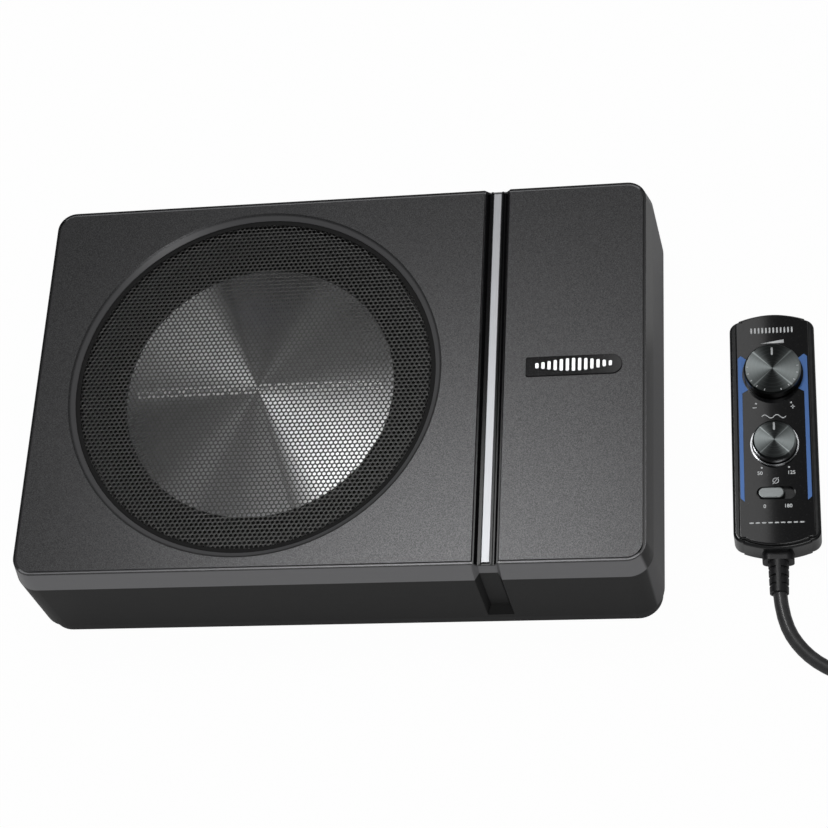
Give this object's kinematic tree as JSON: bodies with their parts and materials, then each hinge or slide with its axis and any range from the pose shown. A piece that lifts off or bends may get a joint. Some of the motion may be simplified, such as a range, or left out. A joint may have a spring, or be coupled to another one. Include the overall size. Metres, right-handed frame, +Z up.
{
  "type": "car subwoofer",
  "caption": "Powered under-seat car subwoofer: shallow driver facing up behind a round perforated grille, amplifier inside, wired remote control with its lead wound up beside it.",
  "frame": {"origin": "on the floor under the middle of the case, at the centre of the bracket holes' pattern (which lies 1.5 mm higher, in the underside of the pan)", "axes": "+Z up out of the grille, +X to the right towards the remote control, +Y towards the back wall with the terminals"},
  "size_m": [0.5656, 0.2725, 0.0789],
  "materials": {
    "cover_paint": "fine metallic charcoal paint",
    "pan_paint": "fine textured black powder coat",
    "foot_rubber": "matte",
    "screw_steel": "dark zinc",
    "trim_gloss": "high gloss",
    "strip_chrome": "satin anodised",
    "badge_gloss": "high gloss",
    "badge_chrome": "polished",
    "grille_paint": "satin charcoal paint, perforated",
    "ring_plastic": "matte",
    "gasket_foam": "foam",
    "basket_paint": "satin black",
    "surround_rubber": "matte",
    "dome_aluminium": "spun",
    "cone_paper": "pulp",
    "former_aluminium": "plain",
    "coil_copper": "enamelled copper wire",
    "spider_cloth": "treated woven cloth",
    "plate_steel": "zinc plated",
    "magnet_ferrite": "ferrite",
    "board_green": "solder mask",
    "choke_copper": "enamelled copper wire",
    "capacitor_sleeve": "sleeve",
    "sink_aluminium": "extruded",
    "transistor_black": "moulded",
    "panel_black": "fine grain",
    "connector_white": "moulded nylon",
    "connector_black": "moulded",
    "fuse_orange": "translucent",
    "jack_brass": "plated",
    "remote_shell": "satin",
    "remote_gloss": "piano black",
    "inlay_blue": "metallic blue",
    "knob_gloss": "turned top, gloss skirt",
    "bezel_chrome": "polished",
    "slider_black": "satin",
    "pot_steel": "pressed",
    "relief_rubber": "moulded",
    "cord_jacket": "satin",
    "tie_fabric": "hook and loop",
    "plug_black": "moulded"
  },
  "bodies": {
    "case": {"amp_board": "board_green", "badge_bars": "badge_chrome", "badge_plate": "badge_gloss", "base_pan": "pan_paint", "basket": "basket_paint", "blade_fuse": "fuse_orange", "board_screws": "screw_steel", "case_screws": "screw_steel", "driver_gasket": "gasket_foam", "driver_screws": "screw_steel", "filter_capacitors": "capacitor_sleeve", "fuse_holder": "connector_black", "grille": "grille_paint", "grille_ring": "ring_plastic", "heat_sink": "sink_aluminium", "magnet": "magnet_ferrite", "power_connector": "connector_white", "power_transistors": "transistor_black", "rca_jacks": "jack_brass", "remote_socket": "connector_black", "rubber_feet": "foot_rubber", "speaker_input_socket": "connector_white", "spider": "spider_cloth", "surround": "surround_rubber", "terminal_panel": "panel_black", "top_cover": "cover_paint", "top_plate": "plate_steel", "toroid_choke": "choke_copper", "trim_bar": "trim_gloss", "trim_strip": "strip_chrome", "yoke": "plate_steel"},
    "cone": {"cone_dome": "dome_aluminium", "cone_body": "cone_paper", "voice_coil_former": "former_aluminium", "voice_coil": "coil_copper"},
    "remote": {"remote_back_shell": "remote_shell", "remote_board": "board_green", "remote_face": "remote_gloss", "remote_front_shell": "remote_shell", "remote_screws": "screw_steel", "blue_inlay_left": "inlay_blue", "blue_inlay_right": "inlay_blue", "frequency_bezel": "bezel_chrome", "volume_potentiometer": "pot_steel", "frequency_potentiometer": "pot_steel", "phase_switch": "pot_steel", "strain_relief": "relief_rubber", "cord_lead": "cord_jacket", "cord_coil": "cord_jacket", "cord_tail": "cord_jacket", "cord_tie": "tie_fabric", "cord_plug": "plug_black"},
    "volume": {"volume_knob": "knob_gloss", "volume_shaft": "plate_steel"},
    "frequency": {"frequency_knob": "knob_gloss", "frequency_shaft": "plate_steel"},
    "slider": {"phase_slider": "slider_black"}
  },
  "joints": [
    {"name": "cone_stroke", "type": "slide", "parent": "case", "child": "cone", "axis": [0, 0, 1], "range_m": [-0.004, 0.004], "stiffness_N_per_m": 1800, "springref_m": 0.0005, "deforming": ["surround", "spider"]},
    {"name": "remote_lift", "type": "slide", "parent": "case", "child": "remote", "axis": [0, 0, 1], "range_m": [0, 0.1]},
    {"name": "volume_turn", "type": "hinge", "parent": "remote", "child": "volume", "pos_m": [0.2317, 0.02, 0.022], "axis": [0, 0, -1], "range_deg": [-150, 150]},
    {"name": "frequency_turn", "type": "hinge", "parent": "remote", "child": "frequency", "pos_m": [0.2317, -0.0225, 0.022], "axis": [0, 0, -1], "range_deg": [-150, 150]},
    {"name": "phase_slide", "type": "slide", "parent": "remote", "child": "slider", "axis": [1, 0, 0], "range_m": [0, 0.005]}
  ]
}
